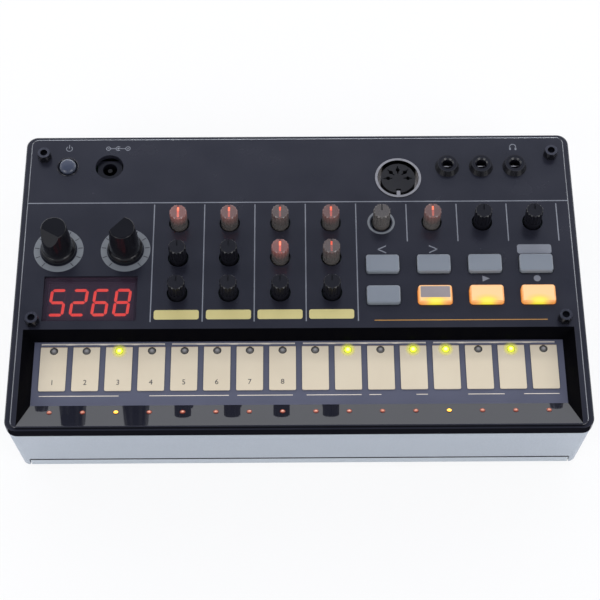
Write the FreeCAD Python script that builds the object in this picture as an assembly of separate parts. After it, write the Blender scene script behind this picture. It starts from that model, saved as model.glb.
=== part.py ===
import FreeCAD, Part
import math
import os

os.makedirs("parts", exist_ok=True)
V = FreeCAD.Vector
UP = V(0, 0, 1)

# Desktop rhythm machine, millimetres, +Z up, +Y to the rear.
# Origin: centre of the outline, on the surface under the feet.

# Outline and heights
width = 193.0
depth = 115.0
half_w = width / 2
half_d = depth / 2
foot_height = 1.5
face_z = 31.0
face_step = 0.8
cover_skirt = 3.7
corner_r = 4.0
cover_wall = 2.0
edge_round = 0.5
knob_top_above_face = 15.0

# Raised face of the cover, inset from the outline
inset_side = 1.9
inset_back = 1.45
inset_front = 0.9
face_corner_r = 2.6

# Keypad well
well_half_top = half_w - 4.0
well_half_floor = half_w - 7.5
well_back_top = -0.1774 * depth
well_back_floor = -0.1991 * depth
well_front_top = -half_d + 1.5
well_front_floor = -half_d + 11.0
well_depth = 4.7
well_wall = 1.5

# Lower case and base plate
case_inset_side = 0.6
case_inset_end = 0.5
case_draft_side = 1.9
case_draft_end = 0.35
case_corner_r = 2.4
case_inner_r = 0.5
case_wall = 2.2
tongue_height = 1.1
tongue_thick = 0.6
notch_height = 4.2
part_gap = 0.4
plate_thick = 2.0
lip_thick = 2.0
foot_r = 5.0
foot_x = half_w - 12.5
foot_y = half_d - 7.5

# Screws that hold cover, case and base plate together
post_x = half_w - 6.9
post_back_y = half_d - 9.1
post_front_y = well_back_top + 3.0
boss_r = 3.2
screw_r = 1.5
screw_depth = 9.0
base_screw_x = half_w - 10.5
base_screw_back_y = half_d - 21.5
base_screw_front_y = well_back_top + 11.4
base_boss_height = 12.0
rib_thick = 2.4
hex_across = 4.3
hex_height = 3.2
hex_hole_r = 1.25
hex_hole_depth = 2.6
screw_head_r = 2.6
screw_head_height = 1.2
fit = 0.05

# Control columns and rows
column_first = -0.2135 * width
column_pitch = 0.0907 * width
row_first = 0.1809 * depth
row_pitch = 0.1196 * depth
small_shaft_r = 2.95
small_hole_r = 3.55
small_height = 7.9
small_flutes = 14
flute_depth = 0.28
flute_length = 5.5

big_knob_x = (-0.427 * width, -0.3078 * width)
big_knob_y = 0.0896 * depth
big_base_r = 6.0
big_top_r = 4.35
big_waist_r = 5.35
big_foot_height = 0.5
big_shoulder_height = 2.6
big_shoulder_bulge = 0.3
big_crown_r = 0.45
big_gap = 0.4
big_hole_r = 3.6
big_shaft_r = 3.0
big_shaft_cover = 5.0
facet_drop = 4.6
facet_inset = 2.1
big_pointer_deg = (240.0, 136.0)

# Keys
key_width = 11.4
key_depth = 6.7
key_height = 1.6
key_corner_r = 1.0
key_round = 0.5
key_row_back = 0.033 * depth
key_row_front = -0.0717 * depth
key_gap = 0.25
key_flange = 0.9
key_flange_thick = 0.8
key_travel = 0.8

# Top strip
power_x = -0.4207 * width
strip_y = 0.3852 * depth
power_r = 2.95
power_hole_r = 3.35
power_rise = 1.3
dc_x = -0.3446 * width
dc_hole_r = 4.95
dc_bore_r = 2.55
dc_pin_r = 0.8
dc_body = 8.6
dc_body_depth = 9.0
jack_x = (0.2736 * width, 0.3355 * width, 0.3969 * width)
jack_y = 0.3791 * depth
jack_base_r = 4.25
jack_top_r = 3.5
jack_rise = 2.3
jack_bore_r = 1.8
jack_neck_r = 3.0
jack_mouth = 0.5
jack_body = 9.0
jack_body_depth = 12.0
din_x = 0.1829 * width
din_y = 0.3391 * depth
din_outer_r = 8.1
din_inner_r = 7.25
din_insert_r = 6.0
din_rise = 0.3
din_depth = 9.7
din_pin_circle_r = 3.5
din_pin_r = 0.75
din_key_width = 1.7
din_floor = 1.5

# Display
display_x = -0.3663 * width
display_y = -0.0748 * depth
display_width = 31.8
display_depth = 17.3
window_thick = 1.2
window_recess = 0.8
window_ledge = 1.2
window_frame = 1.6
window_frame_drop = 1.2
digit_count = 4

# Keypad
pad_count = 16
pad_end_gap = 1.24
pad_gap = 2.07
pad_pitch = 2 * (well_half_floor - pad_end_gap) / pad_count
pad_width = pad_pitch - pad_gap
pad_length = 0.72 * (well_back_floor - well_front_floor)
pad_y = (well_back_floor + well_front_floor) / 2 + 2.0
pad_thick = 0.3
pad_corner_r = 0.5
pad_lamp_y = well_back_floor - 3.5
pad_hole_r = 1.4
pad_lamp_r = 1.1
lip_lamp_r = 0.9
lip_lamp_length = 3.0
lip_lamp_along = 0.34
board_thick = 1.6
keypad_margin = 1.2

# Main board and what it carries
board_half = half_w - 11.5
board_back = half_d - 5.0
board_front = well_back_top + 3.8
board_top = 21.3
pot_width = 9.8
pot_length = 11.0
pot_height = 6.8
pot_floor = 1.2
big_pot_width = 12.0
switch_size = 6.0
switch_height = 3.4
switch_floor = 0.4
stem_r = 1.6
chip_rows = ((-30.0, 36.0, 14.0, 14.0), (4.0, 36.0, 10.0, 10.0), (-60.0, 28.0, 8.0, 12.0))
chip_height = 1.6
can_r = 3.0
can_height = 6.5
can_x = (-30.0, -20.0, -10.0, 0.0)
can_inset = 4.5
pillar_shares = ((-0.3756, 0.2609), (0.0725, 0.4174), (0.3756, 0.2609), (-0.2591, -0.113),
                 (0.1036, -0.113), (0.285, -0.113))
pillar_places = [(across * width, back * depth) for across, back in pillar_shares]
pillar_r = 2.6
board_screw_r = 1.2
board_screw_head_r = 2.2
board_screw_depth = 8.0
ribbon_width = 24.0
ribbon_thick = 0.3
ribbon_reach = 3.0

# Battery box, cells and cover
cell_r = 7.0
cell_length = 48.0
nub_r = 2.6
nub_length = 1.4
cell_rows = 2
cells_in_row = 3
box_wall = 1.5
box_x = 0.0
box_y = -half_d + 24.0
cell_gap = 0.4
contact_thick = 0.4
spring_space = 4.0
cover_gap = 0.3
cover_ledge = 1.5
cover_thick = 1.8
grip_length = 16.0
grip_width = 1.6
grip_count = 4

# Loudspeaker
speaker_x = 0.2694 * width
speaker_y = 0.1739 * depth
speaker_r = 18.0
speaker_rim = 2.0
speaker_height = 7.0
magnet_r = 8.0
cone_neck_r = 5.0
cone_depth = 3.8
cone_thick = 0.5
grille_slots = 7
grille_pitch = 4.2
grille_width = 1.8

# Values worked out from the ones above
flange_z = face_z - face_step
cover_bottom = flange_z - cover_skirt
face_under = face_z - cover_wall
well_floor = face_z - well_depth
plate_z = foot_height
plate_top = plate_z + plate_thick
notch_top = plate_z + notch_height
case_half_w = half_w - case_inset_side
case_half_d = half_d - case_inset_end
board_under = board_top - board_thick
columns = [column_first + column_pitch * i for i in range(8)]
rows = [row_first - row_pitch * i for i in range(3)]
small_places = [(columns[c], rows[r]) for r in range(3) for c in range(4)]
small_places += [(x, rows[0]) for x in columns[4:]]
posts = [(sx * post_x, y) for y in (post_back_y, post_front_y) for sx in (-1, 1)]
base_screws = [(sx * base_screw_x, y) for y in (base_screw_back_y, base_screw_front_y) for sx in (-1, 1)]
key_places = [(x, y) for y in (key_row_back, key_row_front) for x in columns[4:]]
pad_xs = [(i - (pad_count - 1) / 2) * pad_pitch for i in range(pad_count)]
cell_pitch = 2 * cell_r + cell_gap
row_length = cells_in_row * (cell_length + nub_length) + spring_space + 2 * contact_thick
box_half_w = row_length / 2
box_half_d = (cell_rows * cell_pitch + cell_gap) / 2
cell_z = plate_z + cover_thick + cell_gap + cell_r
box_top = cell_z + cell_r + cell_gap
boss_low = box_top + box_wall + 2 * part_gap


def save(name, solids):
    """Write one node, made of one or more separate solids."""
    if not isinstance(solids, (list, tuple)):
        solids = [solids]
    shape = solids[0] if len(solids) == 1 else Part.Compound(list(solids))
    shape.exportStep("parts/" + name + ".step")


def box(x0, x1, y0, y1, z0, z1):
    return Part.makeBox(x1 - x0, y1 - y0, z1 - z0, V(x0, y0, z0))


def block(x, y, z0, w, d, h):
    return box(x - w / 2, x + w / 2, y - d / 2, y + d / 2, z0, z0 + h)


def rod(x, y, z0, z1, r):
    return Part.makeCylinder(r, z1 - z0, V(x, y, z0), UP)


def cone(x, y, z0, z1, r0, r1):
    return Part.makeCone(r0, r1, z1 - z0, V(x, y, z0), UP)


def rounded_wire(x0, x1, y0, y1, z, r):
    """Rectangle with rounded corners, as four lines and four arcs."""
    corners = [(x1 - r, y1 - r, 0), (x0 + r, y1 - r, 90), (x0 + r, y0 + r, 180), (x1 - r, y0 + r, 270)]
    arcs = []
    for cx, cy, start in corners:
        ring = Part.Circle(V(cx, cy, z), UP, r)
        arcs.append(Part.ArcOfCircle(ring, math.radians(start), math.radians(start + 90)).toShape())
    edges = []
    for i, arc in enumerate(arcs):
        edges.append(arc)
        edges.append(Part.makeLine(arc.Vertexes[1].Point, arcs[(i + 1) % 4].Vertexes[0].Point))
    return Part.Wire(edges)


def rounded_block(x0, x1, y0, y1, z0, z1, r):
    return Part.Face(rounded_wire(x0, x1, y0, y1, z0, r)).extrude(V(0, 0, z1 - z0))


def tapered(wire_low, wire_high):
    return Part.makeLoft([wire_low, wire_high], True, True)


def flat_edges(shape, z):
    """Edges that lie wholly at one height."""
    return [e for e in shape.Edges if abs(e.BoundBox.ZMin - z) < 1e-4 and abs(e.BoundBox.ZMax - z) < 1e-4]


def round_top(shape, z, r):
    return shape.makeFillet(r, flat_edges(shape, z))


def cut_all(shape, tools):
    return shape.cut(Part.Compound(tools)) if tools else shape


# Top cover: one black moulding with a stepped edge, the keypad well and every opening

def well_rect(z, grow):
    """The well's outline at a height, grown outwards by a wall."""
    share = (z - well_floor) / well_depth
    half = well_half_floor + (well_half_top - well_half_floor) * share + grow
    back = well_back_floor + (well_back_top - well_back_floor) * share + grow
    front = well_front_floor + (well_front_top - well_front_floor) * share - grow
    pts = [V(-half, front, z), V(half, front, z), V(half, back, z), V(-half, back, z), V(-half, front, z)]
    return Part.makePolygon(pts)


def cover_shell():
    flange = rounded_block(-half_w, half_w, -half_d, half_d, cover_bottom, flange_z, corner_r)
    flange = round_top(flange, flange_z, edge_round)
    face = rounded_block(-half_w + inset_side, half_w - inset_side, -half_d + inset_front,
                         half_d - inset_back, cover_bottom, face_z, face_corner_r)
    face = round_top(face, face_z, edge_round)
    shell = flange.fuse(face)
    hollow = rounded_block(-half_w + cover_wall, half_w - cover_wall, -half_d + cover_wall,
                           half_d - cover_wall, cover_bottom, face_under, corner_r - cover_wall)
    return shell.cut(hollow)


def add_well(shell):
    low = well_floor
    tub = tapered(well_rect(low, well_wall), well_rect(face_z, well_wall))
    limit = rounded_block(-half_w, half_w, -half_d, half_d, low, flange_z - edge_round, corner_r)
    shell = shell.fuse(tub.common(limit))
    rise = 1.0
    inside = tapered(well_rect(low - rise, 0), well_rect(face_z + rise, 0))
    return shell.cut(inside)


def lip_line():
    """Unit vectors along the front lip, rising forwards, and out of it."""
    run = well_front_floor - well_front_top
    length = math.hypot(run, well_depth)
    along = V(0, -run / length, well_depth / length)
    out = V(0, well_depth / length, run / length)
    return along, out, length


def lip_point(x):
    along, out, length = lip_line()
    return V(x, well_front_floor, well_floor) + along * (lip_lamp_along * length)


def lip_rod(x, r, above, length):
    out = lip_line()[1]
    return Part.makeCylinder(r, length, lip_point(x) + out * (above - length), out)


def key_hole(x, y):
    grow = key_gap
    w, d = key_width / 2 + grow, key_depth / 2 + grow
    return rounded_block(x - w, x + w, y - d, y + d, face_under - 1, face_z + 1, key_corner_r + grow)


def display_hole():
    seat_z = face_z - window_recess - window_thick
    top = block(display_x, display_y, seat_z, display_width, display_depth, face_z + 1 - seat_z)
    w, d = display_width - 2 * window_ledge, display_depth - 2 * window_ledge
    low = face_under - window_frame_drop - 1
    return top.fuse(block(display_x, display_y, low, w, d, face_z - low))


def add_bosses(shell):
    """Screw bosses and the frame under the display window."""
    for x, y in posts:
        shell = shell.fuse(rod(x, y, well_floor, face_under, boss_r))
    w, d = display_width + 2 * window_frame, display_depth + 2 * window_frame
    return shell.fuse(block(display_x, display_y, face_under - window_frame_drop, w, d, window_frame_drop))


def cover_openings():
    low, high = face_under - 1, face_z + 1
    tools = [rod(x, y, low, high, small_hole_r) for x, y in small_places]
    tools += [rod(x, big_knob_y, low, high, big_hole_r) for x in big_knob_x]
    tools += [key_hole(x, y) for x, y in key_places]
    tools += [rod(x, y, well_floor - 1, high, screw_r + fit) for x, y in posts]
    tools += [rod(x, jack_y, low, high, jack_neck_r + fit) for x in jack_x]
    tools += [lip_rod(x, lip_lamp_r + fit, 1.0, 6.0) for x in pad_xs]
    tools.append(rod(power_x, strip_y, low, high, power_hole_r))
    tools.append(rod(dc_x, strip_y, low, high, dc_hole_r))
    tools.append(rod(din_x, din_y, low, high, din_outer_r - 0.4 + fit))
    tools.append(display_hole())
    return tools


def make_top_cover():
    save("top_cover", cut_all(add_well(add_bosses(cover_shell())), cover_openings()))


# Lower case: a silver frame with drafted walls, open above and below

def case_wire(z, inward, r):
    share = (cover_bottom - z) / (cover_bottom - plate_z)
    w = case_half_w - case_draft_side * share - inward
    d = case_half_d - case_draft_end * share - inward
    return rounded_wire(-w, w, -d, d, z, r)


def notch_half():
    return half_w - case_inset_side - case_draft_side - case_wall - part_gap


def wall_boss(x, y, low, high, wall_x):
    """A screw boss joined to the side wall by a rib."""
    side = math.copysign(wall_x, x)
    rib = box(min(x, side), max(x, side), y - rib_thick / 2, y + rib_thick / 2, low, high)
    return rod(x, y, low, high, boss_r).fuse(rib)


def make_lower_case():
    walls = tapered(case_wire(plate_z, 0, case_corner_r), case_wire(cover_bottom, 0, case_corner_r))
    inside = tapered(case_wire(plate_z, case_wall, case_inner_r), case_wire(cover_bottom, case_wall, case_inner_r))
    ring_w = half_w - cover_wall - fit * 4
    ring_d = half_d - cover_wall - fit * 4
    tongue_top = cover_bottom + tongue_height
    tongue = rounded_block(-ring_w, ring_w, -ring_d, ring_d, cover_bottom - 1, tongue_top, corner_r - cover_wall)
    slack_w, slack_d = ring_w - tongue_thick, ring_d - tongue_thick
    slack = rounded_block(-slack_w, slack_w, -slack_d, slack_d, cover_bottom - 2, tongue_top + 1, 1.0)
    frame = walls.cut(inside).fuse(tongue.cut(slack))
    for x, y in posts:
        frame = frame.fuse(wall_boss(x, y, boss_low, well_floor, case_half_w - case_wall))
    for x, y in base_screws:
        wall_x = case_half_w - case_draft_side - case_wall / 2
        frame = frame.fuse(wall_boss(x, y, plate_top, plate_top + base_boss_height, wall_x))
    half = notch_half()
    reach = case_half_d - case_wall - case_draft_end
    notch = box(-half, half, -half_d, half_d, plate_z - 1, notch_top)
    tools = [notch.cut(box(-half_w, half_w, -reach, reach, plate_z - 2, notch_top + 1))]
    tools += [rod(x, y, boss_low - 1, well_floor + 1, screw_r + fit) for x, y in posts]
    tools += [rod(x, y, plate_top - 1, plate_top + screw_depth, screw_r + fit) for x, y in base_screws]
    save("lower_case", cut_all(frame, tools))


# Base plate: closes the case, turns up at the front and rear, and carries the battery box

def make_base_plate():
    half = notch_half() - part_gap
    end = case_half_d - case_draft_end
    lip_top = notch_top - part_gap
    plate = box(-half, half, -end, end, plate_z, plate_top)
    for sy in (-1, 1):
        outer = sy * end
        inner = sy * (end - lip_thick)
        plate = plate.fuse(box(-half, half, min(outer, inner), max(outer, inner), plate_z, lip_top))
    shell = box(box_x - box_half_w - box_wall, box_x + box_half_w + box_wall,
                box_y - box_half_d - box_wall, box_y + box_half_d + box_wall, plate_z, box_top + box_wall)
    plate = plate.fuse(shell)
    for x, y in pillar_places:
        plate = plate.fuse(rod(x, y, plate_top, board_under, pillar_r))
    cavity = box(box_x - box_half_w, box_x + box_half_w, box_y - box_half_d, box_y + box_half_d,
                 plate_z - 1, box_top)
    w, d = lid_half()
    seat = box(box_x - w - cover_gap, box_x + w + cover_gap, box_y - d - cover_gap, box_y + d + cover_gap,
               plate_z - 1, plate_z + cover_thick)
    tools = [cavity, seat]
    tools += [rod(x, y, plate_z - 1, plate_top + 1, screw_r + fit) for x, y in base_screws]
    tools += [rod(x, y, plate_z - 1, plate_z + screw_head_height, screw_head_r + fit) for x, y in base_screws]
    tools += [rod(x, y, board_under - board_screw_depth, board_under + 1, board_screw_r + fit)
              for x, y in pillar_places]
    tools += grille_cuts()
    save("base_plate", cut_all(plate, tools))


def grille_cuts():
    cuts = []
    for i in range(grille_slots):
        offset = (i - (grille_slots - 1) / 2) * grille_pitch
        reach = math.sqrt((speaker_r - speaker_rim * 2) ** 2 - offset ** 2)
        cuts.append(block(speaker_x + offset, speaker_y, plate_z - 1, grille_width, 2 * reach, plate_thick + 2))
    return cuts


def lid_half():
    return box_half_w + cover_ledge / 2 + 0.2, box_half_d + cover_ledge / 2 + 0.2


def make_battery_cover():
    w, d = lid_half()
    lid = box(box_x - w, box_x + w, box_y - d, box_y + d, plate_z, plate_z + cover_thick)
    grips = []
    for i in range(grip_count):
        y = box_y + d - 4 - 2 * grip_width * i
        grips.append(block(box_x, y, plate_z - 1, grip_length, grip_width, 1.5))
    save("battery_cover", cut_all(lid, grips))


def make_feet():
    feet = []
    for sx in (-1, 1):
        for sy in (-1, 1):
            foot = cone(sx * foot_x, sy * foot_y, 0, foot_height, foot_r - 0.5, foot_r)
            feet.append(foot)
    save("rubber_feet", feet)


def hexagon(x, y, z, across):
    r = across / math.sqrt(3)
    pts = [V(x + r * math.cos(math.radians(60 * i)), y + r * math.sin(math.radians(60 * i)), z) for i in range(7)]
    return Part.Face(Part.makePolygon(pts))


def make_panel_posts():
    nuts = []
    for x, y in posts:
        head = hexagon(x, y, face_z, hex_across).extrude(V(0, 0, hex_height))
        head = head.common(cone(x, y, face_z, face_z + hex_height, hex_across * 0.62, hex_across * 0.5))
        head = head.fuse(rod(x, y, face_z - screw_depth, face_z, screw_r))
        top = face_z + hex_height
        nuts.append(head.cut(rod(x, y, top - hex_hole_depth, top + 1, hex_hole_r)))
    save("panel_posts", nuts)


def make_base_screws():
    screws = []
    for x, y in base_screws:
        head = rod(x, y, plate_z, plate_z + screw_head_height, screw_head_r)
        shank = rod(x, y, plate_z, plate_z + screw_depth, screw_r)
        slot = box(x - 1.6, x + 1.6, y - 0.25, y + 0.25, plate_z - 1, plate_z + 0.7)
        cross = box(x - 0.25, x + 0.25, y - 1.6, y + 1.6, plate_z - 1, plate_z + 0.7)
        screws.append(head.fuse(shank).cut(slot.fuse(cross)))
    save("base_screws", screws)


# Keypad: a board under the well, cream pads on it, a lamp in each pad and one in the lip

def make_keypad():
    top = well_floor
    under = top - board_thick
    grow = keypad_margin
    board = box(-well_half_floor - grow, well_half_floor + grow, well_front_floor - grow,
                well_back_floor + grow, under, top)
    save("keypad_board", board)
    pads = []
    lamps = []
    for x in pad_xs:
        w, d = pad_width / 2, pad_length / 2
        pad = rounded_block(x - w, x + w, pad_y - d, pad_y + d, top, top + pad_thick, pad_corner_r)
        pads.append(pad.cut(rod(x, pad_lamp_y, top - 1, top + 1, pad_hole_r)))
        lens = rod(x, pad_lamp_y, top, top + pad_thick, pad_lamp_r)
        lamps.append(lens)
    save("keypad_pads", pads)
    save("pad_lamps", lamps)
    save("lip_lamps", [lip_rod(x, lip_lamp_r, 0.15, lip_lamp_length) for x in pad_xs])


# Rotary controls

def fluted_shaft(x, y, bottom, top, r):
    """A moulded shaft whose grip is fluted; a slot marks where it points."""
    grip_z = top - flute_length
    core = rod(x, y, bottom, top, r)
    core = core.makeChamfer(0.35, flat_edges(core, top))
    cutters = []
    step = 360.0 / small_flutes
    for i in range(small_flutes):
        a = math.radians(90 + step * (i + 0.5))
        reach = r + flute_depth
        cutters.append(rod(x + reach * math.cos(a), y + reach * math.sin(a), grip_z, top + 1, 2 * flute_depth))
    cutters.append(box(x - 0.3, x + 0.3, y + 0.2, y + r + 1, top - 0.8, top + 1))
    return core.cut(Part.Compound(cutters))


def make_small_knobs():
    top = face_z + small_height
    for i, (x, y) in enumerate(small_places):
        save("knob_%02d" % (i + 1), fluted_shaft(x, y, board_top + pot_floor, top, small_shaft_r))
    pots = []
    for x, y in small_places:
        body = block(x, y, board_top, pot_width, pot_length, pot_height)
        pots.append(body.cut(rod(x, y, board_top + pot_floor, face_z, small_shaft_r + fit)))
    save("small_pots", pots)


def big_knob(x, y, pointer):
    """Tapered cap with a rounded shoulder, its top edge cut by one sloping facet that points."""
    low = face_z + big_gap
    top = face_z + knob_top_above_face
    waist_z = low + big_shoulder_height
    pts = [V(x, y, low), V(x + big_base_r, y, low), V(x + big_base_r, y, low + big_foot_height),
           V(x + big_waist_r, y, waist_z), V(x + big_top_r, y, top - big_crown_r),
           V(x + big_top_r - big_crown_r, y, top), V(x, y, top)]
    shoulder = V((pts[2].x + pts[3].x) / 2 + big_shoulder_bulge, y, (pts[2].z + pts[3].z) / 2)
    skirt = Part.Arc(pts[2], shoulder, pts[3]).toShape()
    bulge = big_crown_r * (1 - math.sqrt(0.5))
    crown = Part.Arc(pts[4], V(pts[4].x - bulge, y, top - bulge), pts[5]).toShape()
    line = Part.makeLine
    edges = [line(pts[0], pts[1]), line(pts[1], pts[2]), skirt, line(pts[3], pts[4]), crown,
             line(pts[5], pts[6]), line(pts[6], pts[0])]
    cap = Part.Face(Part.Wire(edges)).revolve(V(x, y, 0), UP, 360)
    cap = cap.cut(rod(x, y, low - 1, face_z + knob_top_above_face - big_shaft_cover, big_shaft_r + fit))
    size = 4 * big_base_r
    wedge = Part.makeBox(size, size, size, V(0, -size / 2, -size / 2))
    tilt = math.degrees(math.atan2(facet_drop, facet_inset))
    wedge.rotate(V(0, 0, 0), V(0, 1, 0), -(90 - tilt))
    wedge.translate(V(big_top_r - facet_inset, 0, knob_top_above_face))
    wedge.rotate(V(0, 0, 0), UP, pointer)
    wedge.translate(V(x, y, face_z))
    return cap.cut(wedge)


def make_big_knobs():
    bodies = []
    shaft_top = face_z + knob_top_above_face - big_shaft_cover - part_gap
    for i, x in enumerate(big_knob_x):
        name = "left" if i == 0 else "right"
        save("big_knob_" + name, big_knob(x, big_knob_y, big_pointer_deg[i]))
        shaft = rod(x, big_knob_y, board_top + pot_floor, shaft_top, big_shaft_r)
        slot = box(x - 0.4, x + 0.4, big_knob_y - 4, big_knob_y + 4, shaft_top - 5, shaft_top + 1)
        save("big_shaft_" + name, shaft.cut(slot))
        body = block(x, big_knob_y, board_top, big_pot_width, big_pot_width, pot_height)
        bodies.append(body.cut(rod(x, big_knob_y, board_top + pot_floor, face_z, big_shaft_r + fit)))
    save("big_pots", bodies)


# Keys and their switches

def key_cap(x, y):
    w, d = key_width / 2, key_depth / 2
    top = face_z + key_height
    cap = rounded_block(x - w, x + w, y - d, y + d, face_under - key_flange_thick, top, key_corner_r)
    cap = round_top(cap, top, key_round)
    w, d = w + key_flange, d + key_flange
    flange_top = face_under - 0.02
    flange = rounded_block(x - w, x + w, y - d, y + d, flange_top - key_flange_thick, flange_top, key_corner_r)
    return cap.fuse(flange).fuse(switch_stem(x, y, flange_top))


def switch_stem(x, y, top):
    """The plunger that slides in its switch, with the key's travel left below it."""
    return rod(x, y, board_top + switch_floor + key_travel + 2 * fit, top, stem_r)


def switch_body(x, y):
    body = block(x, y, board_top, switch_size, switch_size, switch_height)
    return body.cut(rod(x, y, board_top + switch_floor, board_top + switch_height + 1, stem_r + fit))


def make_keys():
    for i, (x, y) in enumerate(key_places):
        save("key_%d" % (i + 1), key_cap(x, y))
    top = face_z + power_rise
    cap = rod(power_x, strip_y, face_under - key_flange_thick, top, power_r)
    cap = cap.makeFillet(0.9, flat_edges(cap, top))
    flange_top = face_under - 0.02
    cap = cap.fuse(rod(power_x, strip_y, flange_top - key_flange_thick, flange_top, power_r + 1.2))
    cap = cap.fuse(switch_stem(power_x, strip_y, flange_top))
    save("power_button", cap)
    places = key_places + [(power_x, strip_y)]
    save("key_switches", [switch_body(x, y) for x, y in places])


# Sockets

def make_sockets():
    jacks = []
    nuts = []
    top = face_z + jack_rise
    for x in jack_x:
        body = block(x, jack_y - jack_mouth, board_top, jack_body, jack_body_depth, face_under - board_top)
        jack = body.fuse(rod(x, jack_y, face_under - 1, top, jack_neck_r))
        mouth = cone(x, jack_y, top - jack_mouth, top, jack_bore_r, jack_bore_r + jack_mouth)
        bore = rod(x, jack_y, board_top + 1.5, top + 1, jack_bore_r)
        jacks.append(jack.cut(bore.fuse(mouth)))
        nut = cone(x, jack_y, face_z, top, jack_base_r, jack_top_r)
        nuts.append(nut.cut(rod(x, jack_y, face_z - 1, top + 1, jack_neck_r + fit)))
    save("jack_sockets", jacks)
    save("jack_nuts", nuts)

    top = face_z + din_rise
    ring = rod(din_x, din_y, face_z, top, din_outer_r)
    ring = ring.fuse(rod(din_x, din_y, face_z - din_depth, face_z, din_outer_r - 0.4))
    ring = ring.cut(rod(din_x, din_y, face_z - din_depth + din_floor, top + 1, din_inner_r))
    tab = block(din_x, din_y - din_insert_r - 0.2, face_z - din_depth + din_floor, din_key_width - 0.4, 2.4,
                din_depth - din_floor - 0.4)
    save("din_shell", ring.fuse(tab))

    low = face_z - din_depth + din_floor
    insert = rod(din_x, din_y, low, face_z - 0.1, din_insert_r)
    holes = []
    for i in range(5):
        a = math.radians(45 * i)
        px = din_x + din_pin_circle_r * math.cos(a)
        py = din_y + din_pin_circle_r * math.sin(a)
        holes.append(rod(px, py, face_z - 6, face_z + 1, din_pin_r))
        slit = box(-1.6, 1.6, -0.2, 0.2, face_z - 2, face_z + 1)
        slit.rotate(V(0, 0, 0), UP, 45 * i)
        slit.translate(V(px, py, 0))
        holes.append(slit)
    holes.append(block(din_x, din_y - din_insert_r, low - 1, din_key_width, 3.2, din_depth + 2))
    save("din_insert", cut_all(insert, holes))

    z_top = face_under - 0.02
    body = block(dc_x, strip_y - 0.8, board_top, dc_body, dc_body_depth, z_top - board_top)
    bore_low = board_top + 1.5
    body = body.cut(rod(dc_x, strip_y, bore_low, z_top + 1, dc_bore_r))
    save("dc_socket", body)
    save("dc_pin", rod(dc_x, strip_y, bore_low, z_top - 0.6, dc_pin_r))


# Display: a smoked window on a ledge, over a module with four raised digits

def make_display():
    play = 0.1
    w, d = display_width / 2 - play, display_depth / 2 - play
    low = face_z - window_recess - window_thick
    save("display_window", box(display_x - w, display_x + w, display_y - d, display_y + d,
                               low, low + window_thick))
    w, d = w - window_ledge - play, d - window_ledge - play
    module = box(display_x - w, display_x + w, display_y - d, display_y + d, board_top, low - 1.0)
    pitch = 2 * w / digit_count
    for i in range(digit_count):
        x = display_x + (i - (digit_count - 1) / 2) * pitch
        module = module.cut(block(x, display_y, low - 1.2, pitch * 0.82, 2 * d * 0.9, 1.0))
    save("display_module", module)


# Main board and the parts on it

def make_main_board():
    board = box(-board_half, board_half, board_front, board_back, board_under, board_top)
    holes = [rod(x, y, board_under - 1, board_top + 1, board_screw_r + fit) for x, y in pillar_places]
    save("main_board", cut_all(board, holes))
    parts = [block(x, y, board_top, w, d, chip_height) for x, y, w, d in chip_rows]
    parts += [rod(x, board_back - can_inset, board_top, board_top + can_height, can_r) for x in can_x]
    save("board_parts", parts)
    screws = []
    for x, y in pillar_places:
        head = rod(x, y, board_top, board_top + 1.2, board_screw_head_r)
        shank = rod(x, y, board_under - board_screw_depth + 1, board_top, board_screw_r)
        screws.append(head.fuse(shank).cut(block(x, y, board_top + 0.6, 3.0, 0.5, 1.0)))
    save("board_screws", screws)


def make_ribbon():
    """Flat cable from under the keypad board down to the main board."""
    high = well_floor - board_thick
    gap_y = (well_back_floor + keypad_margin + board_front) / 2
    w = ribbon_width / 2
    upper = box(-w, w, well_back_floor - ribbon_reach, gap_y, high - ribbon_thick, high)
    drop = box(-w, w, gap_y - ribbon_thick, gap_y, board_top, high)
    lower = box(-w, w, gap_y - ribbon_thick, board_front + ribbon_reach, board_top, board_top + ribbon_thick)
    save("ribbon_cable", upper.fuse(drop).fuse(lower))


def make_speaker():
    top = plate_top
    rim = rod(speaker_x, speaker_y, top, top + 2.0, speaker_r)
    rim = rim.cut(rod(speaker_x, speaker_y, top - 1, top + 3, speaker_r - speaker_rim))
    basket = cone(speaker_x, speaker_y, top + 2.0, top + speaker_height, speaker_r, magnet_r + 1)
    basket = basket.cut(cone(speaker_x, speaker_y, top + 1.99, top + speaker_height - 0.8,
                             speaker_r - 1.2, magnet_r))
    magnet = rod(speaker_x, speaker_y, top + speaker_height, top + speaker_height + 4, magnet_r)
    save("speaker_frame", rim.fuse(basket).fuse(magnet))
    low = top + cone_thick
    mouth_r = speaker_r - speaker_rim - 2 * fit
    outer = cone(speaker_x, speaker_y, low, low + cone_depth, mouth_r, cone_neck_r)
    inner = cone(speaker_x, speaker_y, low - cone_thick, low + cone_depth - cone_thick, mouth_r, cone_neck_r)
    save("speaker_cone", outer.cut(inner))


# Batteries

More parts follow.
